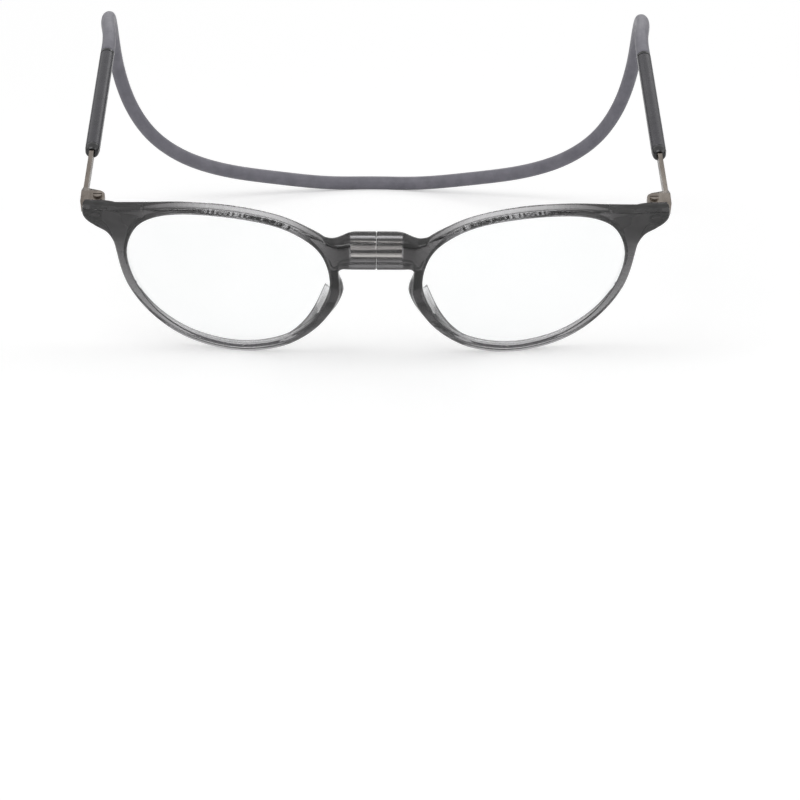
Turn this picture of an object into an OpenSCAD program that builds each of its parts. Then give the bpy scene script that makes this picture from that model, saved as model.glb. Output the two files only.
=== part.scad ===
// Reading glasses that hang round the neck.
// The front opens at the nose, where two magnets hold it shut. Each flat arm
// folds on a small hinge and slides in a sleeve. The sleeves sit on the ends
// of one springy band that goes round the back of the neck.
// The front is drawn upright: x to the wearer's left, y back, z up. The last
// step leans it as the glasses lie on a table, on both rims and the band.

/* [Lens opening] */
// Width of one lens opening
lens_w = 49; // [45:0.5:53]
// Height of one lens opening
lens_h = 41.4; // [37:0.2:46]
// Gap between the two openings across the nose
nose_gap = 22.4; // [20:0.2:25]
// Radius of the face curve, seen from above
wrap_r = 233; // [180:1:400]

/* [Rim] */
// Width of the rim at the side of the lens
rim_w = 2.4; // [2:0.1:3]
// Depth of the rim, front to back
rim_d = 3.4; // [3.2:0.1:4.4]
// Rounding of the rim's long edges
edge_r = 0.6; // [0.3:0.05:0.65]
// How far the end piece stands out past the rim
end_len = 7.6; // [6.5:0.1:9]
// How far the end piece is thickened behind the rim for the hinge
end_back = 2.3; // [1.6:0.1:3]

/* [Lens] */
// Thickness of the lens just inside the rim
lens_edge = 1.1; // [0.8:0.1:1.2]
// Rise of the lens front over its edge
lens_bulge = 1.7; // [1:0.1:3]
// Extra thickness in the middle of the lens
lens_power = 0.9; // [0.2:0.1:1.6]
// Height of the pointed edge that sits in the groove
bevel_h = 0.7; // [0.4:0.05:0.9]
// Play of the lens in the rim
lens_gap = 0.1; // [0.05:0.01:0.15]

/* [Bridge and nose pads] */
// Height of the bridge
bridge_h = 8; // [7:0.1:9]
// Depth of the bridge, front to back
bridge_d = 6.2; // [5.8:0.1:7.4]
// Full section of each half of the bridge, from the seam
bridge_w = 6.4; // [6.2:0.1:7.4]
// Gap at the seam between the two halves
seam_gap = 0.1; // [0.06:0.01:0.3]
// How far the nose pad reaches behind the rim
pad_back = 2.2; // [1:0.1:3.2]
// Swell of the nose pad towards the nose
pad_swell = 0.9; // [0.2:0.1:1.4]

/* [Magnets] */
// Diameter of a magnet
magnet_d = 5; // [4:0.1:5.4]
// Length of a magnet
magnet_l = 6; // [4:0.1:6.2]
// Play round a magnet in its bore
magnet_gap = 0.05; // [0.02:0.01:0.08]

/* [Hinge] */
// Diameter of the hinge barrel
barrel_d = 3.5; // [3.2:0.1:3.8]
// Distance of the pin from the outer face of the end piece
pin_in = 3.1; // [2.8:0.1:3.4]
// Diameter of the hinge screw
screw_d = 1.2; // [1:0.05:1.4]
// Play of the screw in its holes
screw_gap = 0.05; // [0.02:0.01:0.08]
// Height of the forked end of the arm
fork_h = 3.5; // [3.3:0.1:4]
// Thickness of the middle knuckle
tongue_t = 1.2; // [1:0.05:1.4]
// Play above and below the middle knuckle
tongue_gap = 0.05; // [0.03:0.01:0.1]

/* [Arm] */
// Thickness of the flat arm
arm_t = 1.1; // [0.9:0.05:1.15]
// Height of the flat arm
arm_h = 2.1; // [1.7:0.05:2.15]
// Length of the arm that shows in front of the sleeve
arm_show = 24; // [23:0.5:30]
// How far the arm stands outside the end piece
arm_out = 0.95; // [0:0.05:1.2]
// Fall of the arm towards the back in degrees
arm_fall = 6.3; // [4:0.1:8]
// How far the arm can slide either way
slide = 15; // [8:0.5:15]

/* [Sleeve] */
// Length of the sleeve
sleeve_l = 43.5; // [43:0.5:60]
// Outer diameter of the sleeve
sleeve_d = 3.7; // [3.6:0.1:4.4]
// Bore of the sleeve
bore_d = 2.8; // [2.75:0.05:3]
// Play of the stop bush in the bore
bush_gap = 0.05; // [0.03:0.01:0.1]
// Length of the stop bush
bush_l = 5; // [3:0.5:6]
// Play of the arm in the collar's slot
slot_gap = 0.05; // [0.04:0.01:0.08]
// Length of the collar's nose in front of the sleeve
nose_l = 2.2; // [1.5:0.1:3]
// Length of the collar's spigot in the sleeve
spigot_l = 2.5; // [1.5:0.1:3]

/* [Band] */
// Width of the band across its oval section
band_w = 3.6; // [3.4:0.1:4.4]
// Height of the band's oval section
band_h = 4; // [3.6:0.1:5]
// Length of the plug's tail in the band
tail_l = 8; // [5:0.5:8.5]
// Diameter of the plug's tail
tail_d = 2.1; // [1.8:0.05:2.3]

/* [Resting pose] */
// Lean of the glasses as they lie on a table, in degrees
lean = 26.7; // [20:0.1:32]
// Depth of the worn flats on which the rims and the band rest
rest_cut = 0.12; // [0.05:0.01:0.2]

/* [Hidden] */
$fn = 48;

// Lens opening, as shares of its half width and half height, from the temple
// over the brow to the nose and back along the cheek
opening = [[1, 0.15], [0.943, 0.512], [0.788, 0.778], [0.5, 0.947],
  [0.053, 1], [-0.396, 0.952], [-0.7, 0.8], [-0.914, 0.536],
  [-1, 0.126], [-0.94, -0.26], [-0.763, -0.613], [-0.457, -0.889],
  [-0.05, -1], [0.38, -0.913], [0.706, -0.657], [0.918, -0.275]];
// Stations round the opening: place on it, outward step in rim widths, extra
// step in end piece lengths, share of the rim's depth, share of the nose pad
stations = [
  [0, 1.04, 0.08, 0, 0.02, 1, 0],
  [0.55, 1, 0.15, 0.14, -0.06, 1, 0],
  [0.95, 0.94, 0.33, 0.49, -0.1, 1, 0],
  [1.4, 0.86, 0.5, 1.11, -0.3, 1, 0],
  [1.67, 0.78, 0.62, 1.54, -0.31, 1, 0],
  [1.92, 0.7, 0.71, 1.74, -0.18, 1, 0],
  [2.17, 0.62, 0.78, 1.71, -0.26, 1, 0],
  [2.47, 0.5, 0.86, 1.29, -0.31, 1, 0],
  [2.93, 0.3, 0.8, 0.76, -0.22, 1, 0],
  [3.4, 0.15, 0.78, 0.28, -0.07, 1, 0],
  [4, 0, 0.77, 0, 0, 1, 0],
  [5, -0.2, 0.68, 0, 0, 1, 0],
  [6, -0.4, 0.7, 0, 0, 1, 0],
  [7, -1.1, 0.67, 0, 0, 1, 0],
  [8, -1.12, 0, 0, 0, 1, 0.62],
  [8.5, -1.08, -0.16, 0, 0, 1, 1],
  [9, -1, -0.33, 0, 0, 0.98, 0.86],
  [9.5, -0.85, -0.5, 0, 0, 0.95, 0.52],
  [10, -0.7, -0.66, 0, 0, 0.92, 0.18],
  [11, -0.44, -0.86, 0, 0, 0.87, 0],
  [12, -0.04, -1, 0, 0, 0.85, 0],
  [13, 0.4, -0.91, 0, 0, 0.87, 0],
  [14, 0.68, -0.68, 0, 0, 0.92, 0],
  [15, 0.96, -0.33, 0, 0, 0.97, 0]];
turn = len(opening);
steps = 3;

function cat(a, b, c, d, t) = 0.5 * (2 * b + (c - a) * t
  + (2 * a - 5 * b + 4 * c - d) * t * t + (3 * b - a - 3 * c + d) * t * t * t);
function wheel(p, i) = p[(i + 2 * len(p)) % len(p)];
function wrap_y(x) = wrap_r - sqrt(wrap_r * wrap_r - x * x);

lens_x = nose_gap / 2 + lens_w / 2;
lens_z = -0.377 * lens_h;
function open_uv(t) = let (i = floor(t), f = t - i) cat(wheel(opening, i - 1),
  wheel(opening, i), wheel(opening, i + 1), wheel(opening, i + 2), f);
function open_at(t) = let (p = open_uv(t))
  [lens_x + p[0] * lens_w / 2, lens_z + p[1] * lens_h / 2];
function out_at(t) = let (d = open_at(t + 0.02) - open_at(t - 0.02))
  [d[1], -d[0]] / norm(d);
function station(i) = let (n = len(stations), q = floor(i / n), s = wheel(stations, i))
  [s[0] + turn * q, s[1], s[2], s[3], s[4], s[5], s[6]];
// One entry for each ring: place, inner point, outer point, depth, pad share
function ring_at(i, f) = let (s = cat(station(i - 1), station(i), station(i + 1),
  station(i + 2), f), t = station(i)[0] * (1 - f) + station(i + 1)[0] * f,
  p = open_at(t))
  [t, p, p + rim_w * [s[1], s[2]] + end_len * [s[3], s[4]],
  rim_d * s[5], max(0, s[6])];
rings = [for (i = [0:len(stations) - 1], j = [0:steps - 1]) ring_at(i, j / steps)];

// Section of the rim: distance from the opening, depth, step into the groove
groove_y = 0.4 * rim_d;
groove_h = lens_edge / 2 + lens_gap / 2;
function section(w, d, swell, slant) = let (r = edge_r, q = 0.29 * r,
  b = w - slant, s = min(r, 0.4 * b), u = 0.29 * s)
  [[r, 0, 0], [w - r, 0, 0], [w - q, q, 0], [w, r, 0], [w + swell, 0.45 * d, 0],
  [b, d - s, 0], [b - u, d - u, 0], [b - s, d, 0], [s, d, 0], [u, d - u, 0],
  [0, d - s, 0], [0, groove_y + groove_h, 0], [0, groove_y, bevel_h + lens_gap],
  [0, groove_y - groove_h, 0], [0, r, 0], [q, q, 0]];
function ring_points(g) = let (n = out_at(g[0]), w = norm(g[2] - g[1]),
  e = (g[2] - g[1]) / w, k = g[4])
  [for (s = section(w, g[3] + pad_back * k, pad_swell * k, 0.6 * w * k))
  let (p = g[1] + e * s[0] + n * s[2]) [p[0], wrap_y(p[0]) + s[1], p[1]]];
rim_points = [for (g = rings) each ring_points(g)];

// Triangles over a grid of points, closed both ways or with two end caps
function skin(n, m, closed) = [for (i = [0:n - (closed ? 1 : 2)], j = [0:m - 1])
  let (a = i * m + j, b = i * m + (j + 1) % m, c = ((i + 1) % n) * m + (j + 1) % m,
  d = ((i + 1) % n) * m + j) each [[a, b, c], [a, c, d]]];
function cap(o, m) = [for (j = [1:m - 2]) [o, o + j, o + j + 1]];
function flip(f) = [for (t = f) [t[2], t[1], t[0]]];

// End piece and hinge
end_x = rings[5 * steps][2][0];
hinge_x = end_x - pin_in;
block_y = wrap_y(hinge_x) + rim_d + end_back;
barrel_r = barrel_d / 2;
hinge_y = block_y + barrel_r + 0.45;
hinge_z = -2.7;
butt_gap = 0.15;
leaf_t = 0.6;
leaf_gap = 0.03;

// Bridge
bridge_z = lens_z + 0.517 * lens_h / 2;

// Arm, sleeve and slide axis
arm_x = end_x - arm_t / 2 + arm_out;
arm_drop = 1.05;
mouth_y = hinge_y + arm_show * cos(arm_fall);
function arm_z(y) = hinge_z - arm_drop - (y - hinge_y) * tan(arm_fall);
plug_l = 4;
flange_l = 0.8;
// The bush stops at the collar's spigot when the arm is pulled right out
stop_gap = 0.5;
bush_at = spigot_l + stop_gap + slide + bush_l / 2;
sleeve_r = sleeve_d / 2;
bore_r = bore_d / 2;
seat_gap = 0.02;
tang_r = 0.5 * arm_t;

// Band route: share of the arm's distance from the middle, then steps back
// and up from the end of the sleeve
end_at = sleeve_l + flange_l;
end_p = [arm_x, mouth_y + end_at * cos(arm_fall),
  arm_z(mouth_y) - end_at * sin(arm_fall)];
bend_p = end_p + (tail_l + 1) * [0, cos(arm_fall), -sin(arm_fall)];
route = [[1.025, 19.5, -5.3], [1.037, 29, -10.2], [1.047, 37, -17],
  [1.053, 42.3, -26], [1.053, 44.9, -36], [1.04, 45.6, -45],
  [1.005, 45.3, -55], [0.93, 45.6, -66], [0.805, 48.5, -76.8],
  [0.636, 52.2, -85], [0.427, 55.8, -90.8], [0.2, 59.8, -96.3]];
// At the nape the band lies on the table with the rims
rim_low = min([for (p = rim_points) p[1] * sin(lean) + p[2] * cos(lean)]);
nape_y = end_p[1] + 61.7;
nape_z = (rim_low + band_h / 2 - nape_y * sin(lean)) / cos(lean);
knots = concat([end_p, bend_p], [for (r = route)
  [r[0] * arm_x, end_p[1] + r[1], end_p[2] + r[2]]], [[0, nape_y, nape_z]]);
last = len(knots) - 1;
function knot(i) = i <= last ? knots[i]
  : [-knots[2 * last - i][0], knots[2 * last - i][1], knots[2 * last - i][2]];
half = concat([end_p], [bend_p], [for (i = [1:last - 1], j = [1:steps])
  cat(knot(i - 1), knot(i), knot(i + 1), knot(i + 2), j / steps)]);
path = concat(half, [for (i = [len(half) - 2:-1:0]) [-half[i][0], half[i][1], half[i][2]]]);
function unit(v) = v / norm(v);
function along(i) = i == 0 ? unit(path[1] - path[0])
  : i == len(path) - 1 ? unit(path[i] - path[i - 1])
  : unit(path[i + 1] - path[i - 1]);
band_sides = 10;
band_eye = [0, 0.5 * end_p[1], -20];
function band_ring(i) = let (t = along(i), r = band_eye - path[i],
  n = unit(r - (r * t) * t), b = cross(t, n))
  [for (j = [0:band_sides - 1]) let (a = 360 * (j + 0.5) / band_sides)
  path[i] + n * cos(a) * band_w / 2 + b * sin(a) * band_h / 2];
band_points = [for (i = [0:len(path) - 1]) each band_ring(i)];

// The lean and the place on the table
low_y = min([for (p = rim_points) p[1] * cos(lean) - p[2] * sin(lean)]);
high_y = max([for (p = band_points) p[1] * cos(lean) - p[2] * sin(lean)]);
module place() {
  translate([0, -(low_y + high_y) / 2, -rim_low - rest_cut])
    rotate([lean, 0, 0]) children();
}
// Everything under the table's top
module below() {
  translate([-200, -200, -20]) cube([400, 400, 20]);
}
module pair(side) {
  place() mirror([side < 0 ? 1 : 0, 0, 0]) children();
}
// Local z runs back along the slide from the mouth of the sleeve
module on_slide(d) {
  translate([arm_x, mouth_y, arm_z(mouth_y)])
    rotate([-90 - arm_fall, 0, 0]) translate([0, 0, d]) children();
}
module along_x(y, z) {
  translate([0, y, z]) rotate([90, 0, 90]) children();
}

module rim_loop() {
  n = len(rings);
  polyhedron(points = rim_points, faces = flip(skin(n, 16, true)), convexity = 6);
}
// Half of the bridge: square rounded bar that thins into the rim
module bridge_half() {
  r = 1.5;
  x1 = nose_gap / 2 - 0.6;
  hull() {
    for (y = [r, bridge_d - r], z = [-1, 1])
      along_x(y, bridge_z + z * (bridge_h / 2 - r))
        translate([0, 0, seam_gap / 2])
        cylinder(r = r, h = bridge_w - seam_gap / 2, $fn = 24);
    for (y = [1.2, rim_d - 0.7], z = [-1, 1])
      along_x(y, bridge_z + z * (bridge_h / 2 - 1.8))
        translate([0, 0, x1]) cylinder(r = 0.8, h = 0.1, $fn = 24);
  }
}
// Thick corner behind the end piece, cut to the outline of the front
module end_block() {
  y0 = wrap_y(hinge_x) + 1;
  translate([0, block_y, 0]) rotate([90, 0, 0]) linear_extrude(block_y - y0)
    intersection() {
      offset(delta = -0.12) polygon([for (g = rings) g[2]]);
      translate([hinge_x - 2.4, hinge_z - 1.6]) square([8, 4.4]);
    }
}
// Metal leaf of the hinge, with play all round for the pocket that holds it
module leaf_body(play) {
  translate([hinge_x - 2 - play, block_y - leaf_t - play, hinge_z - 1.2 - play])
    cube([3.3 + 2 * play, leaf_t + 2 * play, 2.4 + 2 * play]);
  translate([hinge_x - 1.1 - play, block_y - 3 - play, hinge_z - 0.6 - play])
    cube([1.6 + 2 * play, 3 - leaf_t + 2 * play, 1.2 + 2 * play]);
  translate([hinge_x - 1.6 - play, block_y - 3 - play, hinge_z - 0.6 - play])
    cube([2.6 + 2 * play, 0.9 + 2 * play, 1.2 + 2 * play]);
}
module rim(side) {
  color([0.36, 0.36, 0.39, 0.85]) difference() {
    pair(side) union() {
      rim_loop();
      bridge_half();
      end_block();
    }
    pair(side) along_x(bridge_d / 2, bridge_z) translate([0, 0, -1])
      cylinder(d = magnet_d + 2 * magnet_gap, h = 1 + seam_gap / 2 + magnet_l + magnet_gap);
    pair(side) leaf_body(leaf_gap);
    below();
  }
}
lens_n = 64;
function lens_ring(share, step, y) = [for (i = [0:lens_n - 1]) let (t = i * turn / lens_n,
  e = open_at(t) + out_at(t) * step, c = [lens_x, lens_z], p = c + (e - c) * share)
  [p[0], wrap_y(p[0]) + y, p[1]]];
module lens(side) {
  h = lens_edge / 2;
  shares = [0.3, 0.6, 0.84];
  front = [for (s = shares) each lens_ring(s, -lens_gap, groove_y - h - lens_bulge * (1 - s * s))];
  rear = [for (s = [0.84, 0.6, 0.3]) each lens_ring(s, -lens_gap,
    groove_y + h - (lens_bulge - lens_power) * (1 - s * s))];
  pts = concat(front, lens_ring(1, -lens_gap, groove_y - h), lens_ring(1, bevel_h, groove_y),
    lens_ring(1, -lens_gap, groove_y + h), rear,
    [[lens_x, wrap_y(lens_x) + groove_y - h - lens_bulge, lens_z],
    [lens_x, wrap_y(lens_x) + groove_y + h - lens_bulge + lens_power, lens_z]]);
  n = 9;
  tip = n * lens_n;
  fans = [for (j = [0:lens_n - 1]) each [[tip, (j + 1) % lens_n, j],
    [tip + 1, tip - lens_n + j, tip - lens_n + (j + 1) % lens_n]]];
  color([0.82, 0.88, 0.9, 0.35]) pair(side)
    polyhedron(points = pts, faces = concat(skin(n, lens_n, false), fans), convexity = 4);
}
module magnet(side) {
  color([0.78, 0.78, 0.76]) pair(side) along_x(bridge_d / 2, bridge_z)
    translate([0, 0, seam_gap / 2]) cylinder(d = magnet_d, h = magnet_l);
}
module hinge_leaf(side) {
  r = barrel_r - 0.05;
  color([0.55, 0.54, 0.53]) pair(side) difference() {
    union() {
      leaf_body(0);
      translate([hinge_x - r, block_y - leaf_t, hinge_z - tongue_t / 2])
        cube([r + 1, hinge_y - block_y + leaf_t, tongue_t]);
      translate([hinge_x, hinge_y, hinge_z]) cylinder(r = r, h = tongue_t, center = true);
    }
    translate([hinge_x, hinge_y, hinge_z])
      cylinder(d = screw_d + 2 * screw_gap, h = 10, center = true);
  }
}
module hinge_screw(side) {
  color([0.8, 0.8, 0.78]) pair(side) translate([hinge_x, hinge_y, hinge_z]) difference() {
    union() {
      cylinder(d = screw_d, h = fork_h, center = true);
      translate([0, 0, fork_h / 2]) cylinder(d = 1.8 * screw_d, h = 0.5);
    }
    translate([-2, -0.15, fork_h / 2 + 0.25]) cube([4, 0.3, 1]);
  }
}
// Arm: forked head, flat strip and round tang for the stop bush
module arm(side) {
  r = barrel_r;
  b = block_y + butt_gap - hinge_y;
  out = arm_x + arm_t / 2 - hinge_x;
  head_l = 4.5;
  thin = 0.5 * arm_h / cos(arm_fall);
  y0 = hinge_y + b;
  y1 = hinge_y + r;
  y2 = hinge_y + head_l + 1.2;
  slot_h = tongue_t + 2 * tongue_gap;
  color([0.66, 0.65, 0.62]) pair(side) difference() {
    union() {
      intersection() {
        translate([hinge_x, hinge_y, hinge_z - 8]) linear_extrude(16) union() {
          circle(r = r);
          polygon([[0, -0.98 * r], [1.4, b], [out, b], [out, head_l + 1.2],
            [out - arm_t, head_l], [-0.7 * r, 0.69 * r]]);
        }
        translate([hinge_x - 5, 0, 0]) rotate([90, 0, 90]) linear_extrude(12)
          polygon([[y0, hinge_z - fork_h / 2], [hinge_y, hinge_z - fork_h / 2],
            [y2 - 2, arm_z(y2 - 2) - thin], [y2, arm_z(y2) - thin],
            [y2, arm_z(y2) + thin], [y1, hinge_z + fork_h / 2],
            [y0, hinge_z + fork_h / 2]]);
      }
      on_slide(-arm_show + head_l - 1) translate([-arm_t / 2, -arm_h / 2, 0])
        cube([arm_t, arm_h, arm_show - head_l + 1 + bush_at - bush_l / 2]);
      on_slide(bush_at - bush_l / 2 - 0.5) cylinder(r = tang_r, h = bush_l + 1);
    }
    translate([hinge_x, hinge_y, hinge_z]) {
      cylinder(r = r + 0.1, h = slot_h, center = true);
      translate([-3, b - 1, -slot_h / 2]) cube([4.1, 1 - b, slot_h]);
      cylinder(d = screw_d + 2 * screw_gap, h = 10, center = true);
    }
  }
}
module slider(side) {
  color([0.25, 0.25, 0.26]) pair(side) on_slide(bush_at - bush_l / 2) difference() {
    cylinder(r = bore_r - bush_gap, h = bush_l);
    translate([0, 0, -1]) cylinder(r = tang_r + seat_gap, h = bush_l + 2);
  }
}
module sleeve(side) {
  color([0.24, 0.23, 0.27]) pair(side) on_slide(0) rotate_extrude()
    polygon([[bore_r, 0], [sleeve_r - 0.15, 0], [sleeve_r, 0.3],
      [sleeve_r, sleeve_l - 0.3], [sleeve_r - 0.15, sleeve_l], [bore_r, sleeve_l]]);
}
module collar(side) {
  color([0.3, 0.3, 0.32]) pair(side) on_slide(0) difference() {
    union() {
      cylinder(r = bore_r - seat_gap, h = spigot_l);
      rotate_extrude() polygon([[0, -nose_l], [sleeve_r - 0.45, -nose_l],
        [sleeve_r - 0.2, -nose_l + 0.4], [sleeve_r, -0.6], [sleeve_r, 0], [0, 0]]);
    }
    translate([-arm_t / 2 - slot_gap, -arm_h / 2 - slot_gap, -nose_l - 1])
      cube([arm_t + 2 * slot_gap, arm_h + 2 * slot_gap, nose_l + spigot_l + 2]);
  }
}
module plug(side) {
  color([0.3, 0.3, 0.32]) pair(side) on_slide(sleeve_l) {
    translate([0, 0, -plug_l]) cylinder(r = bore_r - seat_gap, h = plug_l);
    cylinder(r = sleeve_r, h = flange_l);
    cylinder(d = tail_d, h = flange_l + tail_l);
  }
}
module neck_band() {
  n = len(path);
  m = band_sides;
  color([0.43, 0.42, 0.47]) difference() {
    place() polyhedron(points = band_points, faces = flip(concat(skin(n, m, false),
      cap(0, m), flip(cap((n - 1) * m, m)))), convexity = 8);
    for (s = [1, -1]) pair(s) on_slide(end_at - 1)
      cylinder(d = tail_d + 2 * seat_gap, h = tail_l + 1.3);
    below();
  }
}

rim(1);  // left_rim
rim(-1);  // right_rim
lens(1);  // left_lens
lens(-1);  // right_lens
magnet(1);  // left_magnet
magnet(-1);  // right_magnet
hinge_leaf(1);  // left_hinge_leaf
hinge_leaf(-1);  // right_hinge_leaf
hinge_screw(1);  // left_hinge_screw
hinge_screw(-1);  // right_hinge_screw
arm(1);  // left_arm
arm(-1);  // right_arm
slider(1);  // left_slider
slider(-1);  // right_slider
sleeve(1);  // left_sleeve
sleeve(-1);  // right_sleeve
collar(1);  // left_collar
collar(-1);  // right_collar
plug(1);  // left_plug
plug(-1);  // right_plug
neck_band();
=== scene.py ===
import math

import bmesh
import bpy
import numpy as np
from mathutils import Matrix, Vector


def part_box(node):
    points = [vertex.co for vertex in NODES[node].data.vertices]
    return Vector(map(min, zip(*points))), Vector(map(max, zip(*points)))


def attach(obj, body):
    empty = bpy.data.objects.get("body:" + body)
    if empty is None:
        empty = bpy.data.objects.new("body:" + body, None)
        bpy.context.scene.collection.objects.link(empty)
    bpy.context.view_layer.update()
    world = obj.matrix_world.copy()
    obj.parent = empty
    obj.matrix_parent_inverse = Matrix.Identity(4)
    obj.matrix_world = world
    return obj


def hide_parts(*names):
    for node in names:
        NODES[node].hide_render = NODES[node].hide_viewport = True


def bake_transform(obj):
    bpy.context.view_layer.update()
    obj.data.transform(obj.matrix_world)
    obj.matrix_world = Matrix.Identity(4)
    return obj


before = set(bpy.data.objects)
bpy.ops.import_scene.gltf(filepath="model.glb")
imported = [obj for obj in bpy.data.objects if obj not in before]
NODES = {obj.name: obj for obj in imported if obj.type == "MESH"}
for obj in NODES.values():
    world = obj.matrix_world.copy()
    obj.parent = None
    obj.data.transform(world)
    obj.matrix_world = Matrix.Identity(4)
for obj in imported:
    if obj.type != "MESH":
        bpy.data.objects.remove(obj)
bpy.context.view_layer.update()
MM = 0.001

# Sizes in mm, of the front standing upright with the bridge's front face at the origin
# Lens: width, height, gap between the two, radius of the front's curve round the face
LENS_W, LENS_H, NOSE_GAP, WRAP_R = 49.0, 41.4, 22.4, 233.0
# Lens: edge thickness, bulge, extra thickness of the middle, bevel, play in the groove
LENS_EDGE, LENS_BULGE, LENS_POWER, BEVEL_H, LENS_GAP = 1.1, 1.7, 0.9, 0.7, 0.1
# Rim: width, depth, radius of its edges, place of the groove as a share of the depth
RIM_W, RIM_D, EDGE_R, GROOVE = 2.4, 3.4, 0.6, 0.4
# End piece: reach outwards, thickness behind the rim, hinge pin inwards of its end
END_LEN, END_BACK, PIN_IN = 7.6, 2.3, 3.1
# Bridge: depth, gap between the magnets, gap drawn between the halves
BRIDGE_D, SEAM_GAP, SEAM_SHOWS = 6.2, 0.1, 0.05
# Nose pad: depth behind the rim, swell towards the nose, overhang behind the lens
PAD_BACK, PAD_SWELL, PAD_OVER = 4.2, 0.9, 0.6
MAGNET_D, MAGNET_L, MAGNET_GAP = 5.0, 6.0, 0.05
# Arm: hinge barrel, thickness, step outwards, length that shows, fall in degrees, drop
BARREL_D, ARM_T, ARM_OUT, ARM_SHOW, ARM_FALL, ARM_DROP = 3.5, 1.1, 0.95, 24.0, 6.3, 1.05
# Sleeve: length, the plug's flange behind it, the plug's tail inside the band
SLEEVE_L, FLANGE_L, TAIL_L, TAIL_D = 43.5, 0.8, 8.0, 2.1
# Band: width, height, distance of the nape behind the sleeves
BAND_W, BAND_H, NAPE_BACK = 3.6, 4.0, 61.7
LEAN = math.radians(26.7)
HINGE_Z = -2.7

# Lens opening: points at equal steps of place, as shares of half the width and height
OPENING = [(1, 0.15), (0.943, 0.512), (0.788, 0.778), (0.5, 0.947),
           (0.053, 1), (-0.396, 0.952), (-0.7, 0.8), (-0.914, 0.536),
           (-1, 0.126), (-0.94, -0.26), (-0.763, -0.613), (-0.457, -0.889),
           (-0.05, -1), (0.38, -0.913), (0.706, -0.657), (0.918, -0.275)]
# Place on the opening, steps along x and z in rim widths and then in end piece lengths,
# share of the rim's depth, share of the pad's swell
STATIONS = [
    (0, 1.04, 0.08, 0, 0.02, 1, 0), (0.55, 1, 0.15, 0.14, -0.06, 1, 0),
    (0.95, 0.94, 0.33, 0.49, -0.1, 1, 0), (1.4, 0.86, 0.5, 1.11, -0.3, 1, 0),
    (1.67, 0.78, 0.62, 1.54, -0.31, 1, 0), (1.92, 0.7, 0.71, 1.74, -0.18, 1, 0),
    (2.17, 0.62, 0.78, 1.71, -0.26, 1, 0), (2.47, 0.5, 0.86, 1.29, -0.31, 1, 0),
    (2.93, 0.3, 0.8, 0.76, -0.22, 1, 0), (3.4, 0.15, 0.78, 0.28, -0.07, 1, 0),
    (4, 0, 0.77, 0, 0, 1, 0), (5, -0.2, 0.68, 0, 0, 1, 0),
    (6, -0.4, 0.7, 0, 0, 1, 0), (7, -1.08, 0.67, 0, 0, 1, 0),
    (7.6, -1.04, 0.22, 0, 0, 1, 0), (7.9, -0.97, 0.02, 0, 0, 1, 0.1),
    (8.17, -1.03, -0.05, 0, 0, 1, 0.62), (8.5, -1.13, -0.15, 0, 0, 1, 1),
    (8.95, -1.05, -0.31, 0, 0, 0.98, 0.96), (9.4, -0.87, -0.47, 0, 0, 0.95, 0.66),
    (9.9, -0.71, -0.63, 0, 0, 0.92, 0.26),
    (10.4, -0.6, -0.74, 0, 0, 0.9, 0.03), (11, -0.44, -0.86, 0, 0, 0.87, 0),
    (12, -0.04, -1, 0, 0, 0.85, 0), (13, 0.4, -0.91, 0, 0, 0.87, 0),
    (14, 0.68, -0.68, 0, 0, 0.92, 0), (15, 0.96, -0.33, 0, 0, 0.97, 0)]
# Band behind the sleeve: x as a share of the arm's, then mm back and up from the sleeve
ROUTE = [(1.025, 19.5, -5.3), (1.037, 29, -10.2), (1.047, 37, -17),
         (1.053, 42.3, -26), (1.053, 44.9, -36), (1.04, 45.6, -45),
         (1.005, 45.3, -55), (0.93, 45.6, -66), (0.805, 48.5, -76.8),
         (0.636, 52.2, -85), (0.427, 55.8, -90.8), (0.2, 59.8, -96.3)]

LENS_X = NOSE_GAP / 2 + LENS_W / 2
LENS_Z = -0.377 * LENS_H
BRIDGE_Z = LENS_Z + 0.517 * LENS_H / 2
TURN = len(OPENING)


def cat(a, b, c, d, t):
    """Catmull-Rom curve from b to c."""
    a, b, c, d = (np.asarray(v, float) for v in (a, b, c, d))
    return 0.5 * (2 * b + (c - a) * t + (2 * a - 5 * b + 4 * c - d) * t * t
                  + (3 * b - a - 3 * c + d) * t ** 3)


def wrap_y(x):
    return WRAP_R - math.sqrt(WRAP_R ** 2 - x * x)


def open_at(t):
    i = math.floor(t)
    u, v = cat(*(OPENING[(i + k) % TURN] for k in (-1, 0, 1, 2)), t - i)
    return np.array((LENS_X + u * LENS_W / 2, LENS_Z + v * LENS_H / 2))


def out_at(t):
    d = open_at(t + 0.02) - open_at(t - 0.02)
    return np.array((d[1], -d[0])) / np.linalg.norm(d)


def station(i):
    n = len(STATIONS)
    s = STATIONS[i % n]
    return np.array((s[0] + TURN * (i // n),) + s[1:], float)


def ring_at(i, f):
    """Place, inner point, outer point, depth and pad share of one ring."""
    s = cat(station(i - 1), station(i), station(i + 1), station(i + 2), f)
    t = station(i)[0] * (1 - f) + station(i + 1)[0] * f
    p = open_at(t)
    outer = p + RIM_W * s[1:3] + END_LEN * s[3:5]
    return t, p, outer, RIM_D * s[5], max(0.0, s[6])


END_X = ring_at(5, 0)[2][0]
HINGE_X = END_X - PIN_IN
BLOCK_Y = wrap_y(HINGE_X) + RIM_D + END_BACK
HINGE_Y = BLOCK_Y + BARREL_D / 2 + 0.45
ARM_X = END_X - ARM_T / 2 + ARM_OUT
FALL = math.radians(ARM_FALL)
MOUTH_Y = HINGE_Y + ARM_SHOW * math.cos(FALL)

# The upright front leans about x; the magnet's box gives the shift on the table
LEAN_M = Matrix.Rotation(LEAN, 4, "X")
_lo, _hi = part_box("left_magnet")
_mid = (_lo + _hi) / (2 * MM)
SHIFT = _mid - LEAN_M @ Vector((_mid.x, BRIDGE_D / 2, BRIDGE_Z))
PLACE = Matrix.Translation(SHIFT) @ LEAN_M


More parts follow.
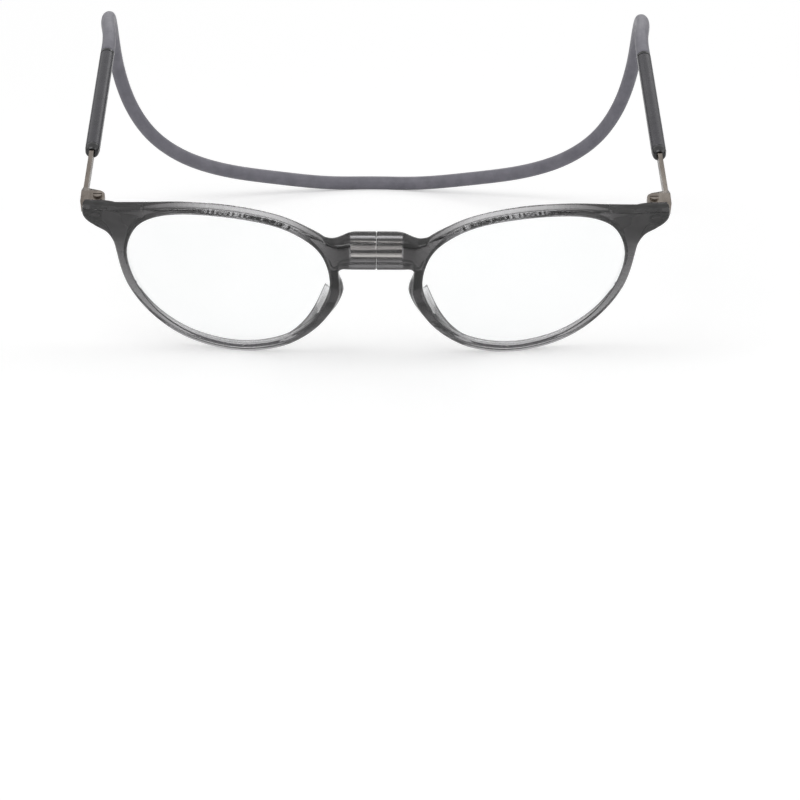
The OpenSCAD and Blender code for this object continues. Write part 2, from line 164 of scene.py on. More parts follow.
def arm_z(y):
    return HINGE_Z - ARM_DROP - (y - HINGE_Y) * math.tan(FALL)


# Mesh helpers
def mesh_object(name, verts, faces):
    mesh = bpy.data.meshes.new(name)
    mesh.from_pydata([tuple(map(float, v)) for v in verts], [], faces)
    mesh.validate()
    obj = bpy.data.objects.new(name, mesh)
    bpy.context.scene.collection.objects.link(obj)
    bm = bmesh.new()
    bm.from_mesh(mesh)
    bmesh.ops.recalc_face_normals(bm, faces=bm.faces)
    bm.to_mesh(mesh)
    bm.free()
    return obj


def baked(obj):
    """Applies the modifiers of obj to its mesh."""
    graph = bpy.context.evaluated_depsgraph_get()
    mesh = bpy.data.meshes.new_from_object(obj.evaluated_get(graph))
    old = obj.data
    obj.modifiers.clear()
    obj.data = mesh
    bpy.data.meshes.remove(old)
    return obj


def drop(obj):
    mesh = obj.data
    bpy.data.objects.remove(obj)
    bpy.data.meshes.remove(mesh)


def cut(obj, cutter):
    mod = obj.modifiers.new("cut", "BOOLEAN")
    mod.operation = "DIFFERENCE"
    mod.solver = "EXACT"
    mod.object = cutter
    bpy.context.view_layer.update()
    baked(obj)
    drop(cutter)


def joined(name, objs):
    """One mesh of all the objs' shells."""
    bm = bmesh.new()
    for o in objs:
        bm.from_mesh(o.data)
        drop(o)
    mesh = bpy.data.meshes.new(name)
    bm.to_mesh(mesh)
    bm.free()
    obj = bpy.data.objects.new(name, mesh)
    bpy.context.scene.collection.objects.link(obj)
    return obj


def coords(obj):
    co = np.empty(len(obj.data.vertices) * 3)
    obj.data.vertices.foreach_get("co", co)
    return co.reshape(-1, 3)


def set_coords(obj, co):
    obj.data.vertices.foreach_set("co", np.ascontiguousarray(co, float).ravel())
    obj.data.update()


def smooth(obj, angle=35):
    obj.data.shade_smooth()
    obj.data.set_sharp_from_angle(angle=math.radians(angle))


def to_world(obj, side):
    """From the upright front, left half, in mm, to the row frame in metres."""
    co = coords(obj)
    if side < 0:
        co[:, 0] *= -1
        obj.data.flip_normals()
    m = np.array(PLACE)
    co = (co @ m[:3, :3].T + m[:3, 3]) * MM
    co[:, 2] = np.maximum(co[:, 2], 0.0)
    set_coords(obj, co)


def skin(n, m):
    """Quads over n rings of m points, the rings in a row."""
    return [(i * m + j, i * m + (j + 1) % m, (i + 1) * m + (j + 1) % m, (i + 1) * m + j)
            for i in range(n - 1) for j in range(m)]


def closed_skin(n, m):
    """The same with a cap on the first and the last ring."""
    return skin(n, m) + [tuple(range(m)), tuple(range(n * m - 1, (n - 1) * m - 1, -1))]


def arc(cx, cy, r, a0, a1, n):
    """Points of an arc from a0 to a1 degrees, in n steps."""
    return [(cx + r * math.cos(math.radians(a0 + (a1 - a0) * i / n)),
             cy + r * math.sin(math.radians(a0 + (a1 - a0) * i / n))) for i in range(n + 1)]


# Moulded halves of the front
def ease(t):
    t = np.clip(t, 0, 1)
    return t * t * (3 - 2 * t)


def pad_depth(t):
    """Share of its full depth that the nose pad has at a place on the opening."""
    return float(ease((t - 7.6) / 1.15) * ease((10.7 - t) / 1.75))


def rim_section(w, d, swell, slant, over):
    """(out, depth, step into the groove) round the moulded rim.

    w and d are its width and depth. The outer side swells, the rear edge is narrower by
    slant, and its inner corner reaches over the opening.
    """
    r, b = EDGE_R, w - slant
    s = min(r, 0.4 * b)
    gy, gh = GROOVE * RIM_D, LENS_EDGE / 2 + LENS_GAP / 2
    pts = arc(w - r, r, r, -90, 0, 4)
    mid = np.array((2 * (w + swell) - (w + b) / 2, 2 * 0.45 * d - (r + d - s) / 2))
    side = 6
    for k in range(1, side):
        f = k / side
        p = (1 - f) ** 2 * np.array((w, r)) + 2 * f * (1 - f) * mid + f * f * np.array((b, d - s))
        pts.append(tuple(p))
    pts += arc(b - s, d - s, s, 0, 90, 4) + arc(s - over, d - s, s, 90, 180, 4)
    pts = [(x, y, 0.0) for x, y in pts]
    pts += [(0, gy + gh, 0), (0, gy, BEVEL_H + LENS_GAP), (0, gy - gh, 0)]
    pts += [(x, y, 0.0) for x, y in arc(r, r, r, 180, 270, 4)]
    return pts


def rim_loop():
    """The rim with its end piece and nose pad, lofted round the opening."""
    verts, steps = [], 10
    n = len(STATIONS) * steps
    for i in range(len(STATIONS)):
        for j in range(steps):
            t, p, q, d, k = ring_at(i, j / steps)
            normal, w = out_at(t), float(np.linalg.norm(q - p))
            e = (q - p) / w
            deep = pad_depth(t)
            ring = rim_section(w, d + PAD_BACK * deep, PAD_SWELL * k, 0.6 * w * k, PAD_OVER * deep)
            for a, y, g in ring:
                x, z = p + e * a + normal * g
                verts.append((x, wrap_y(x) + y, z))
    m = len(verts) // n
    last = (n - 1) * m
    faces = skin(n, m) + [(last + j, last + (j + 1) % m, (j + 1) % m, j) for j in range(m)]
    return mesh_object("rim_loop", verts, faces)


# x, top and bottom above the bridge's middle, front, back, corner radius
BRIDGE_STATIONS = [
    (0.02, 3.86, -3.86, 0.14, 6.06, 1.4), (0.12, 3.96, -3.96, 0.04, 6.16, 1.46),
    (0.3, 4.0, -4.0, 0.0, 6.2, 1.5), (3.0, 4.0, -4.0, 0.0, 6.2, 1.5),
    (5.4, 3.97, -4.0, 0.0, 6.15, 1.5), (6.8, 3.8, -4.0, 0.05, 5.85, 1.45),
    (7.8, 3.55, -4.02, 0.12, 5.4, 1.35), (8.5, 3.42, -4.25, 0.18, 5.1, 1.3),
    (9.1, 3.32, -4.95, 0.25, 4.8, 1.2), (9.8, 3.3, -5.6, 0.3, 4.5, 1.15),
    (10.5, 3.36, -5.4, 0.35, 4.25, 1.1), (11.4, 3.7, -2.9, 0.45, 3.95, 1.0),
    (12.4, 4.15, -1.1, 0.5, 3.75, 0.9), (13.5, 4.75, 1.0, 0.6, 3.6, 0.7),
    (15.0, 5.6, 3.2, 0.8, 3.5, 0.6), (16.2, 6.3, 4.7, 1.0, 3.4, 0.4)]


def bridge_half():
    """Housing of one magnet, which flows out into the brow of the rim."""
    verts, n, steps = [], 0, 4
    rows = [np.array(r) for r in BRIDGE_STATIONS]
    for i in range(len(rows) - 1):
        for j in range(steps + (i == len(rows) - 2)):
            a, b = rows[max(i - 1, 0)], rows[min(i + 2, len(rows) - 1)]
            x, top, low, y0, y1, r = cat(a, rows[i], rows[i + 1], b, j / steps)
            f = 0.4 * r
            ring = arc(y1 - r, top - r, r, 0, 90, 6) + arc(y0 + r, top - r, r, 90, 180, 6)
            ring += arc(y0 + f, low + f, f, 180, 270, 6) + arc(y1 - r, low + r, r, 270, 360, 6)
            verts += [(x, y, BRIDGE_Z + z) for y, z in ring]
            n += 1
    return mesh_object("bridge", verts, closed_skin(n, len(verts) // n))


def crossings(x, loop):
    """Heights at which a closed outline crosses the line x = const, lowest first."""
    zs = [a[1] + (b[1] - a[1]) * (x - a[0]) / (b[0] - a[0])
          for a, b in zip(loop, loop[1:] + loop[:1]) if (a[0] - x) * (b[0] - x) < 0]
    return sorted(zs)


def end_block():
    """Swelling behind the end piece, which fades into the rim and holds the hinge leaf."""
    outline = [tuple(ring_at(i, j / 8)[2]) for i in range(len(STATIONS)) for j in range(8)]
    opening = [tuple(open_at(t / 8)) for t in range(8 * TURN)]
    reach_x, reach_z, rows, columns = 10.0, 6.0, 18, 56
    flat_x, flat_low, flat_top = HINGE_X - 2.1, HINGE_Z - 1.4, HINGE_Z + 1.4
    # How far the block keeps inside the rim's outline and clear of the lens
    under_top, over_low, off_lens, in_rim, from_end = 0.14, 0.25, 0.3, 0.04, 0.2
    verts = []
    for x in np.linspace(flat_x - reach_x, END_X - from_end, columns):
        lo, hi = crossings(x, outline)[-2:]
        hi = min(hi - under_top, HINGE_Z + 2.8)
        lens_tops = [z + off_lens for z in crossings(x, opening)[-1:]]
        lo = max([lo + over_low, flat_low - reach_z] + lens_tops)
        rim_back, front = wrap_y(x) + RIM_D - in_rim, wrap_y(x) + 1.0
        for k in range(rows + 1):
            z = hi + (lo - hi) * k / rows
            away = math.hypot(max(0, flat_x - x) / reach_x, max(0, flat_low - z) / reach_z)
            share = ease(1 - away) * (1 - 0.14 * max(0.0, z - flat_top) ** 2)
            verts.append((x, rim_back + share * (BLOCK_Y - rim_back), z))
        verts += [(x, front, lo), (x, front, hi)]
    return mesh_object("end_block", verts, closed_skin(columns, rows + 3))


def box_object(x, y, z, dx, dy, dz):
    v = [(x + a * dx, y + b * dy, z + c * dz) for a in (0, 1) for b in (0, 1) for c in (0, 1)]
    return mesh_object("box", v, [(0, 1, 3, 2), (4, 6, 7, 5), (0, 4, 5, 1), (2, 3, 7, 6),
                                  (0, 2, 6, 4), (1, 5, 7, 3)])


def leaf_boxes():
    """The pocket of the hinge leaf: neck, foot and plate, with g of play."""
    g, t = 0.03, 0.6
    yield box_object(HINGE_X - 1.1 - g, BLOCK_Y - 3 - g, HINGE_Z - 0.6 - g,
                     1.6 + 2 * g, 3 - t + 2 * g, 1.2 + 2 * g)
    yield box_object(HINGE_X - 1.6 - g, BLOCK_Y - 3 - g, HINGE_Z - 0.6 - g,
                     2.6 + 2 * g, 0.9 + 2 * g, 1.2 + 2 * g)
    yield box_object(HINGE_X - 2 - g, BLOCK_Y - t - g, HINGE_Z - 1.2 - g,
                     3.3 + 2 * g, t + 1, 2.4 + 2 * g)


def magnet_bore():
    n, r = 96, MAGNET_D / 2 + MAGNET_GAP
    x1 = SEAM_GAP / 2 + MAGNET_L + MAGNET_GAP
    ring = arc(BRIDGE_D / 2, BRIDGE_Z, r, 0, 360 - 360 / n, n - 1)
    verts = [(x, a, b) for x in (-1, x1) for a, b in ring]
    return mesh_object("bore", verts, closed_skin(2, n))


# Place round the opening and how much colour the plastic keeps there: thin
# parts are pale, the end piece and the nose side look dark
TINTS = [(0, 0.16), (0.9, 0.08), (1.7, 0.05), (2.6, 0.06), (3.2, 0.25), (3.8, 0.75), (4.6, 0.95),
         (5.4, 0.85), (6.2, 0.4), (7, 0.12), (7.8, 0.05), (8.8, 0.04), (9.5, 0.1), (10.2, 0.38),
         (11, 0.85), (12, 1.0), (13, 0.85), (14, 0.6), (15, 0.36), (16, 0.16)]


def tint_at(x, behind, z):
    """Share of light that the plastic lets in, by the nearest place on the rim."""
    rings = [ring_at(i, j / 6) for i in range(len(STATIONS)) for j in range(6)]
    places = np.array([ring[0] for ring in rings])
    mids = np.array([(ring[1] + ring[2]) / 2 for ring in rings])
    near = np.array([((mids - c) ** 2).sum(1).argmin() for c in zip(x, z)])
    tint = np.interp(places[near], *zip(*TINTS))
    below_bridge = BRIDGE_Z - 4.6
    lobe = np.clip((behind - 4) / 1.5, 0, 1) * (x < 22) * (z < below_bridge)
    tint = tint * (1 - lobe) + 0.92 * lobe
    housing = np.clip((11.0 - x) / 3.0, 0, 1) * (z > below_bridge)
    over_magnet = (np.clip((MAGNET_L + 0.6 - x) / 0.4, 0, 1)
                   * np.clip((z - BRIDGE_Z + 3.1) / 0.5, 0, 1))
    return tint * (1 - housing) + (0.05 + 0.75 * over_magnet) * housing


def satin_at(x, behind, z):
    """1 on the satin back of the end piece, 0 on the polished rest."""
    return (np.clip((x - HINGE_X + 13) / 3, 0, 1) * np.clip((behind - 1.2) / 0.8, 0, 1)
            * np.clip((z + 13) / 3, 0, 1))


def add_finish(obj):
    """Stores tint and satin on the mesh, where the material finds them."""
    x, y, z = coords(obj).T
    behind = y - np.array([wrap_y(a) for a in x])
    for name, find in (("tint", tint_at), ("satin", satin_at)):
        attribute = obj.data.attributes.new(name, "FLOAT", "POINT")
        attribute.data.foreach_set("value", find(x, behind, z).astype(np.float32))


def moulded_half():
    """One half of the front: rim, end piece, nose pad and bridge as one moulding."""
    obj = joined("moulding", [rim_loop(), bridge_half(), end_block()])
    mod = obj.modifiers.new("fuse", "REMESH")
    mod.mode = "VOXEL"
    mod.voxel_size = 0.19
    mod = obj.modifiers.new("soften", "SMOOTH")
    mod.factor, mod.iterations = 0.5, 4
    bpy.context.view_layer.update()
    baked(obj)
    co = coords(obj)
    co[:, 0] = np.maximum(co[:, 0], SEAM_SHOWS / 2)
    set_coords(obj, co)
    cut(obj, magnet_bore())
    for b in leaf_boxes():
        cut(obj, b)
    add_finish(obj)
    return obj


# Lenses
def lens_mesh():
    """Lens with a bevel all round, from rows at shares of the way to its edge."""
    n, h, gy = 160, LENS_EDGE / 2, GROOVE * RIM_D
    rows = []

    def row(share, step, dy):
        out = []
        for i in range(n):
            t = i * TURN / n
            e = open_at(t) + out_at(t) * step
            p = np.array((LENS_X, LENS_Z)) * (1 - share) + e * share
            out.append((p[0], wrap_y(p[0]) + dy, p[1]))
        return out

    shares = [0.06, 0.14, 0.23, 0.32, 0.41, 0.5, 0.59, 0.68, 0.76, 0.84, 0.91, 0.96]
    for s in shares:
        rows.append(row(s, -LENS_GAP, gy - h - LENS_BULGE * (1 - s * s)))
    rows.append(row(1, -LENS_GAP, gy - h))
    rows.append(row(1, BEVEL_H, gy))
    rows.append(row(1, -LENS_GAP, gy + h))
    for s in reversed(shares):
        rows.append(row(s, -LENS_GAP, gy + h - (LENS_BULGE - LENS_POWER) * (1 - s * s)))
    verts = [v for r in rows for v in r]
    verts += [(LENS_X, wrap_y(LENS_X) + gy - h - LENS_BULGE, LENS_Z),
              (LENS_X, wrap_y(LENS_X) + gy + h - LENS_BULGE + LENS_POWER, LENS_Z)]
    tip = len(rows) * n
    faces = skin(len(rows), n)
    faces += [(tip, (j + 1) % n, j) for j in range(n)]
    faces += [(tip + 1, tip - n + j, tip - n + (j + 1) % n) for j in range(n)]
    return mesh_object("lens", verts, faces)


# Band
END_P = np.array((ARM_X, MOUTH_Y + (SLEEVE_L + FLANGE_L) * math.cos(FALL),
                  arm_z(MOUTH_Y) - (SLEEVE_L + FLANGE_L) * math.sin(FALL)))


def band_knots():
    """Listed places of the centre line, left half, from the sleeve to the nape."""
    low = -SHIFT.z - 0.12
    nape_y = END_P[1] + NAPE_BACK
    nape = (0, nape_y, (low + BAND_H / 2 - nape_y * math.sin(LEAN)) / math.cos(LEAN))
    bend = END_P + (TAIL_L + 1) * np.array((0, math.cos(FALL), -math.sin(FALL)))
    behind = [np.array((r[0] * ARM_X, END_P[1] + r[1], END_P[2] + r[2])) for r in ROUTE]
    return [END_P, bend] + behind + [np.array(nape)]


def band_path():
    """Evenly spaced centre line of the left half, which ends on the middle plane."""
    knots = band_knots()
    past_nape = len(knots) + 2
    knots += [np.array((-k[0], k[1], k[2])) for k in knots[-2::-1]]
    fine = [knots[0] + (knots[1] - knots[0]) * f / 12 for f in range(12)]
    for i in range(1, past_nape):
        fine += [cat(*knots[i - 1:i + 3], f / 24) for f in range(24)]
    fine = np.array(fine)
    along = np.r_[0, np.cumsum(np.linalg.norm(np.diff(fine, axis=0), axis=1))]
    gap, straight, rounds = 0.75, 7, 60
    even = np.stack([np.interp(np.arange(0, along[-1], gap), along, c) for c in fine.T], 1)
    # A short-range smoothing that keeps the straight start
    for _ in range(rounds):
        mid = even.copy()
        mid[1:-1] = (even[:-2] + 2 * even[1:-1] + even[2:]) / 4
        mid[:straight] = even[:straight]
        even = mid
    stop = int(np.argmax(even[:, 0] <= 0))
    a, b = even[stop - 1], even[stop]
    end = a + (b - a) * (a[0] / (a[0] - b[0]))
    end[0] = 0
    keep = stop - 1 if np.linalg.norm(end - a) < 0.2 else stop
    return np.vstack([even[:keep], end])


BAND_PATH = band_path()


def band_half(name):
    """Half of the band: a bore for the plug's tail, a rounded lip and the long tube."""
    path, m = BAND_PATH, 32
    eye = np.array((0, 0.5 * END_P[1], -20))
    tan = np.gradient(path, axis=0)
    tan[-1] = (-1, 0, 0)
    tan /= np.linalg.norm(tan, axis=1)[:, None]
    r = eye - path
    nrm = r - (r * tan).sum(1)[:, None] * tan
    nrm /= np.linalg.norm(nrm, axis=1)[:, None]
    side = np.cross(tan, nrm)
    ang = np.radians(np.arange(m) * 360 / m)
    ca, sa = np.cos(ang)[:, None], np.sin(ang)[:, None]
    # Two low ridges where the mould closed
    ridge = 1 + 0.018 * np.exp(-((np.abs(sa) - 1) / 0.004) ** 2)

    def ring(p, i, scale=1.0):
        return p + nrm[i] * (ca * scale * BAND_W / 2) + side[i] * (sa * ridge * scale * BAND_H / 2)

    def bore(p):
        return p + (nrm[0] * ca + side[0] * sa) * (TAIL_D / 2 + 0.02)

    start, t0 = path[0], tan[0]
    rings = [bore(start + t0 * (TAIL_L + 0.3)), bore(start)]
    lip = ((0, 0.9), (0.06, 0.955), (0.2, 0.99))
    rings += [ring(start + t0 * dy, 0, scale) for dy, scale in lip]
    rings += [ring(path[i], i) for i in range(1, len(path))]
    return mesh_object(name, np.vstack(rings), closed_skin(len(rings), m))


# Materials
class Shader:
    """A node material with a Principled shader, whose looks come from noise."""

    def __init__(self, name, **inputs):
        self.mat = bpy.data.materials.new(name)
        self.mat.use_nodes = True
        self.tree = self.mat.node_tree
        self.bsdf = self.tree.nodes["Principled BSDF"]
        self.place = self.add("ShaderNodeTexCoord").outputs["Object"]
        for key, value in inputs.items():
            socket = self.bsdf.inputs[key.replace("_", " ")]
            socket.default_value = (*value, 1) if isinstance(value, tuple) else value

    def add(self, kind, **props):
        node = self.tree.nodes.new(kind)
        for key, value in props.items():
            setattr(node, key, value)
        return node

    def link(self, a, b):
        self.tree.links.new(a, b)

    def attribute(self, name):
        return self.add("ShaderNodeAttribute", attribute_name=name).outputs["Fac"]

    def noise(self, scale, detail=3.0, rough=0.5, stretch=None, shift=(0, 0, 0)):
        node = self.add("ShaderNodeTexNoise")
        node.inputs["Scale"].default_value = scale
        node.inputs["Detail"].default_value = detail
        node.inputs["Roughness"].default_value = rough
        place = self.place
        if stretch:
            m = self.add("ShaderNodeMapping")
            m.inputs["Scale"].default_value = stretch
            m.inputs["Location"].default_value = shift
            self.link(place, m.inputs["Vector"])
            place = m.outputs["Vector"]
        self.link(place, node.inputs["Vector"])
        return node.outputs["Fac"]

    def ramp(self, fac, stops):
        node = self.add("ShaderNodeValToRGB")
        el = node.color_ramp.elements
        for k, (pos, col) in enumerate(stops):
            e = el[k] if k < 2 else el.new(pos)
            e.position, e.color = pos, (*col, 1)
        self.link(fac, node.inputs["Fac"])
        return node.outputs["Color"]

    def colour(self, fac, stops, end=None):
        colour = self.ramp(fac, stops)
        if end:
            colour = self.plain_end(colour, end)
        self.link(colour, self.bsdf.inputs["Base Color"])

    def plain_end(self, colour, end):
        """One colour on the faces that look along x."""
        split = self.add("ShaderNodeSeparateXYZ")
        self.link(self.add("ShaderNodeTexCoord").outputs["Normal"], split.inputs[0])
        size = self.add("ShaderNodeMath", operation="ABSOLUTE")
        self.link(split.outputs["X"], size.inputs[0])
        share = self.add("ShaderNodeMapRange")
        share.inputs["From Min"].default_value = 0.5
        share.inputs["From Max"].default_value = 0.9
        self.link(size.outputs[0], share.inputs["Value"])
        mix = self.add("ShaderNodeMix", data_type="RGBA")
        self.link(share.outputs["Result"], mix.inputs[0])
        self.link(colour, mix.inputs[6])
        mix.inputs[7].default_value = (*end, 1)
        return mix.outputs[2]

    def rough(self, fac, low, high, extra=None):
        """Roughness from low to high, with extra = (attribute, how much it adds)."""
        node = self.add("ShaderNodeMapRange")
        node.inputs["From Min"].default_value = 0.3
        node.inputs["From Max"].default_value = 0.7
        node.inputs["To Min"].default_value = low
        node.inputs["To Max"].default_value = high
        self.link(fac, node.inputs["Value"])
        result = node.outputs["Result"]
        if extra:
            name, amount = extra
            total = self.add("ShaderNodeMath", operation="MULTIPLY_ADD")
            self.link(self.attribute(name), total.inputs[0])
            total.inputs[1].default_value = amount
            self.link(result, total.inputs[2])
            result = total.outputs[0]
        self.link(result, self.bsdf.inputs["Roughness"])

    def bump(self, fac, height):
        node = self.add("ShaderNodeBump")
        node.inputs["Strength"].default_value = 1.0
        node.inputs["Distance"].default_value = height
        self.link(fac, node.inputs["Height"])
        self.link(node.outputs["Normal"], self.bsdf.inputs["Normal"])

    def absorb(self, colour, density):
        node = self.add("ShaderNodeVolumeAbsorption")
        node.inputs["Color"].default_value = (*colour, 1)
        node.inputs["Density"].default_value = density
        self.link(node.outputs["Volume"], self.tree.nodes["Material Output"].inputs["Volume"])


def make_materials():
    """One material for each finish, by its short name."""
    out = {}
    s = Shader("smoky_moulding", IOR=1.49, Transmission_Weight=1.0)
    cloud = s.add("ShaderNodeMix", data_type="FLOAT")
    cloud.inputs["Factor"].default_value = 0.12
    s.link(s.attribute("tint"), cloud.inputs[2])
    s.link(s.noise(160, 4), cloud.inputs[3])
    s.colour(cloud.outputs[0], [(0.0, (0.05, 0.045, 0.047)), (1.0, (0.98, 0.98, 0.99))])
    s.rough(s.noise(700, 4), 0.05, 0.12, ("satin", 0.5))
    s.bump(s.noise(420, 2), 0.000004)
    s.absorb((0.22, 0.21, 0.22), 290)
    out["smoky"] = s.mat

    s = Shader("clear_lens", IOR=1.5, Transmission_Weight=1.0)
    s.colour(s.noise(90, 2), [(0.3, (0.975, 0.985, 0.985)), (0.7, (0.99, 0.995, 0.995))])
    s.rough(s.noise(400, 3), 0.0, 0.02)
    out["lens"] = s.mat

    # Painted reflection: the lengthwise streaks in the magnet's colour, from near black to near
    # white, stand in for the bands of reflection along its round side; the end faces keep one plain
    # nickel colour
    s = Shader("magnet_nickel_painted_bands", Metallic=1.0, IOR=1.5)
    s.colour(s.noise(900, 2, 0.4, (0.02, 1, 1), (0, 0.9, 0.92)),
             [(0.5, (0.03, 0.026, 0.023)), (0.59, (0.99, 0.96, 0.91))], (0.6, 0.575, 0.54))
    s.rough(s.noise(1500, 3, 0.5, (0.1, 1, 1)), 0.08, 0.2)
    s.bump(s.noise(2200, 2, 0.5, (0.05, 1, 1)), 0.00001)
    out["nickel"] = s.mat

    s = Shader("hinge_metal", Metallic=1.0, IOR=1.5)
    s.colour(s.noise(420, 5, 0.6), [(0.3, (0.10, 0.095, 0.09)), (0.7, (0.26, 0.25, 0.24))])
    s.rough(s.noise(1400, 4), 0.2, 0.38)
    s.bump(s.noise(3000, 3), 0.000006)
    out["hinge"] = s.mat

    s = Shader("arm_metal", Metallic=1.0, IOR=1.5)
    s.colour(s.noise(300, 5, 0.6, (1, 0.08, 1)),
             [(0.3, (0.14, 0.12, 0.105)), (0.7, (0.30, 0.27, 0.24))])
    s.rough(s.noise(1600, 4, 0.5, (1, 0.05, 1)), 0.18, 0.34)
    s.bump(s.noise(2600, 3, 0.5, (1, 0.04, 1)), 0.000008)
    out["arm"] = s.mat

    s = Shader("bush_plastic", IOR=1.45)
    s.colour(s.noise(800, 4), [(0.3, (0.035, 0.035, 0.038)), (0.7, (0.055, 0.055, 0.06))])
    s.rough(s.noise(1500, 3), 0.4, 0.6)
    out["dark"] = s.mat

    s = Shader("sleeve_plastic", IOR=1.45, Coat_Weight=0.1, Coat_Roughness=0.15)
    s.colour(s.noise(350, 5, 0.6), [(0.3, (0.014, 0.013, 0.019)), (0.7, (0.027, 0.025, 0.034))])
    s.rough(s.noise(1300, 4), 0.24, 0.36)
    s.bump(s.noise(3500, 3), 0.000008)
    out["sleeve"] = s.mat

    s = Shader("collar_plastic", IOR=1.46, Coat_Weight=0.15, Coat_Roughness=0.05)
    s.colour(s.noise(500, 4), [(0.3, (0.006, 0.006, 0.007)), (0.7, (0.012, 0.012, 0.013))])
    s.rough(s.noise(1200, 3), 0.1, 0.18)
    out["collar"] = s.mat

    s = Shader("band_rubber", IOR=1.43, Sheen_Weight=0.12, Sheen_Roughness=0.4)
    s.colour(s.noise(260, 5, 0.6), [(0.3, (0.150, 0.146, 0.172)), (0.7, (0.205, 0.200, 0.230))])
    s.rough(s.noise(1100, 4), 0.42, 0.58)
    s.bump(s.noise(2400, 4), 0.000014)
    out["band"] = s.mat
    return out


MATS = make_materials()


def dress(obj, mat):
    """A new piece gets a material."""
    obj.data.materials.append(MATS[mat])


def dress_node(name, mat, edge):
    """A CAD node keeps its mesh and gets a material, soft shading and broken edges."""
    obj = NODES[name]
    for i in range(len(obj.material_slots)):
        obj.material_slots[i].material = MATS[mat]
    if not obj.material_slots:
        obj.data.materials.append(MATS[mat])
    obj.data.shade_smooth()
    obj.data.set_sharp_from_angle(angle=math.radians(32))
    mod = obj.modifiers.new("edges", "BEVEL")
    mod.width = edge * MM
    mod.segments = 2
    mod.limit_method = "ANGLE"
    mod.angle_limit = math.radians(40)


# Pieces
# CAD nodes that keep their mesh, with their material and broken edge in mm
KEPT = [("magnet", "nickel", 0.2), ("hinge_leaf", "hinge", 0.08), ("hinge_screw", "arm", 0.08),
        ("arm", "arm", 0.1), ("slider", "dark", 0.1), ("sleeve", "sleeve", 0.08),
        ("collar", "collar", 0.1), ("plug", "collar", 0.08)]


def build():
    half, lens = moulded_half(), lens_mesh()
    for side, word in ((1, "left"), (-1, "right")):
        rim = bpy.data.objects.new(f"{word}_moulding", half.data.copy())
        glass = bpy.data.objects.new(f"{word}_clear_lens", lens.data.copy())
        for obj in (rim, glass):
            bpy.context.scene.collection.objects.link(obj)
            to_world(obj, side)
        smooth(rim, 40)
        smooth(glass, 30)
        dress(rim, "smoky")
        dress(glass, "lens")
        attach(rim, f"{word}_front")
        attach(glass, f"{word}_front")
        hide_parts(f"{word}_rim")
        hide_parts(f"{word}_lens")

        band = band_half(f"{word}_band")
        to_world(band, side)
        smooth(band, 50)
        dress(band, "band")
        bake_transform(band)
        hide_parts("neck_band")

        for node, mat, edge in KEPT:
            dress_node(f"{word}_{node}", mat, edge)
    drop(half)
    drop(lens)


build()


# Floor, light and camera
def seen_directly(tree):
    """1 for camera, mirror and glass rays, which show the plain background."""
    path = tree.nodes.new("ShaderNodeLightPath")
    total = None
    for name in ("Is Camera Ray", "Is Glossy Ray", "Is Transmission Ray"):
        if total is None:
            total = path.outputs[name]
            continue
        node = tree.nodes.new("ShaderNodeMath")
        node.operation = "MAXIMUM"
        tree.links.new(total, node.inputs[0])
        tree.links.new(path.outputs[name], node.inputs[1])
        total = node.outputs[0]
    return total


def make_floor():
    """Pale floor that keeps the shadows near the object and is plain white far off."""
    size = 6.0
    corners = [(-size, -size, 0), (size, -size, 0), (size, size, 0), (-size, size, 0)]
    obj = mesh_object("floor", corners, [(0, 1, 2, 3)])
    mat = bpy.data.materials.new("pale_floor")
    mat.use_nodes = True
    tree = mat.node_tree
    tree.nodes.clear()
    link = tree.links.new

    def node(kind, **values):
        n = tree.nodes.new(kind)
        for key, value in values.items():
            n.inputs[key].default_value = value
        return n

    paper = node("ShaderNodeBsdfDiffuse", Color=(0.80, 0.80, 0.80, 1))
    lift = node("ShaderNodeEmission")
    white = node("ShaderNodeEmission", Strength=1.0)
    seen = seen_directly(tree)
    amount = tree.nodes.new("ShaderNodeMath")
    amount.operation = "MULTIPLY"
    amount.inputs[1].default_value = 0.36
    link(seen, amount.inputs[0])
    link(amount.outputs[0], lift.inputs["Strength"])
    near = node("ShaderNodeAddShader")
    link(paper.outputs[0], near.inputs[0])
    link(lift.outputs[0], near.inputs[1])
    length = tree.nodes.new("ShaderNodeVectorMath")
    length.operation = "LENGTH"
    link(tree.nodes.new("ShaderNodeTexCoord").outputs["Object"], length.inputs[0])
    far = tree.nodes.new("ShaderNodeMapRange")
    far.interpolation_type = "SMOOTHSTEP"
    far.inputs["From Min"].default_value = 0.18
    far.inputs["From Max"].default_value = 0.6
    link(length.outputs["Value"], far.inputs["Value"])
    share = tree.nodes.new("ShaderNodeMath")
    share.operation = "MULTIPLY"
    link(far.outputs["Result"], share.inputs[0])
    link(seen, share.inputs[1])
    mix = tree.nodes.new("ShaderNodeMixShader")
    link(share.outputs[0], mix.inputs[0])
    link(near.outputs[0], mix.inputs[1])
    link(white.outputs[0], mix.inputs[2])
    link(mix.outputs[0], tree.nodes.new("ShaderNodeOutputMaterial").inputs["Surface"])
    obj.data.materials.append(mat)


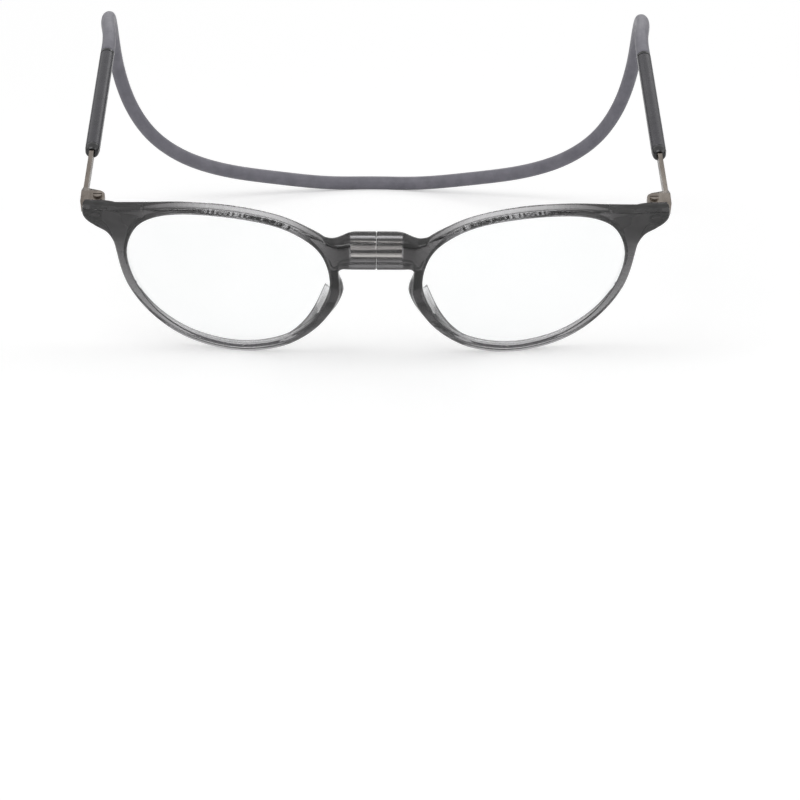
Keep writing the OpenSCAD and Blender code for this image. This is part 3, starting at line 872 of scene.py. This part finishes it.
def make_world(level, horizon):
    """White where it is seen directly; mirror rays find it darker near the horizon."""
    world = bpy.data.worlds.new("studio")
    bpy.context.scene.world = world
    world.use_nodes = True
    tree = world.node_tree
    link = tree.links.new
    back = tree.nodes["Background"]
    back.inputs["Color"].default_value = (1, 1, 1, 1)
    path = tree.nodes.new("ShaderNodeLightPath")
    split = tree.nodes.new("ShaderNodeSeparateXYZ")
    link(tree.nodes.new("ShaderNodeTexCoord").outputs["Generated"], split.inputs[0])
    sky = tree.nodes.new("ShaderNodeMapRange")
    sky.interpolation_type = "SMOOTHSTEP"
    sky.inputs["From Min"].default_value = 0.02
    sky.inputs["From Max"].default_value = 0.4
    sky.inputs["To Min"].default_value = horizon
    sky.inputs["To Max"].default_value = 1.0
    link(split.outputs["Z"], sky.inputs["Value"])
    strength = level
    seen = (("Is Transmission Ray", 1.0), ("Is Glossy Ray", sky.outputs[0]), ("Is Camera Ray", 1.0))
    for ray, value in seen:
        mix = tree.nodes.new("ShaderNodeMix")
        for socket, v in ((mix.inputs[2], strength), (mix.inputs[3], value)):
            if isinstance(v, float):
                socket.default_value = v
            else:
                link(v, socket)
        link(path.outputs[ray], mix.inputs[0])
        strength = mix.outputs[0]
    link(strength, back.inputs["Strength"])


def soft_lamp(name, place, aim, size, power):
    light = bpy.data.lights.new(name, "AREA")
    light.shape = "RECTANGLE"
    light.size, light.size_y = size
    light.energy = power
    obj = bpy.data.objects.new(name, light)
    obj.location = place
    obj.rotation_euler = (Vector(aim) - Vector(place)).to_track_quat("-Z", "Y").to_euler()
    bpy.context.scene.collection.objects.link(obj)


make_floor()
make_world(0.55, 0.12)
soft_lamp("key", (-0.35, -0.45, 0.85), (0, 0, 0.02), (0.7, 0.5), 2.4)
soft_lamp("fill", (0.7, -0.2, 0.6), (0, 0, 0.02), (0.5, 0.5), 0.9)
soft_lamp("rim_light", (0.1, 0.8, 0.55), (0, 0, 0.03), (0.8, 0.3), 0.9)

cam = bpy.data.cameras.new("camera")
cam.lens, cam.sensor_width = 110.63, 36.0
cam_obj = bpy.data.objects.new("camera", cam)
cam_obj.location = (-0.00267, -0.65119, 0.19021)
cam_obj.rotation_euler = [math.radians(a) for a in (70.6961, -0.4692, -0.7102)]
bpy.context.scene.collection.objects.link(cam_obj)
bpy.context.scene.camera = cam_obj
bpy.context.scene.view_settings.view_transform = "Standard"
